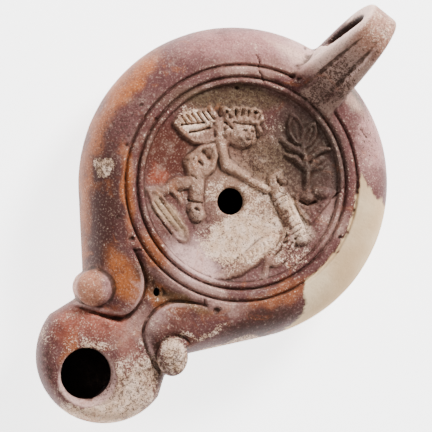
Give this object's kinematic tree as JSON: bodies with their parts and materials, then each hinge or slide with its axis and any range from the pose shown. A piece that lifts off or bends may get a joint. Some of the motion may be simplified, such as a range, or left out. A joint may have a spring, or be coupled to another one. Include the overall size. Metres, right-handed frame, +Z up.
{
  "type": "roman oil lamp",
  "caption": "Hollow clay picture lamp with round body, dished relief discus, volute nozzle with wick hole and ridged ring handle.",
  "frame": {"origin": "centre of the flat base, on the lamp's turning axis", "axes": "+Z up out of the base, +Y towards the ring handle, -Y towards the nozzle"},
  "size_m": [0.083, 0.1328, 0.046],
  "materials": {
    "slipped_clay": "worn satin slip over fired clay"
  },
  "bodies": {
    "root": {"oil_lamp": "slipped_clay"}
  },
  "joints": []
}
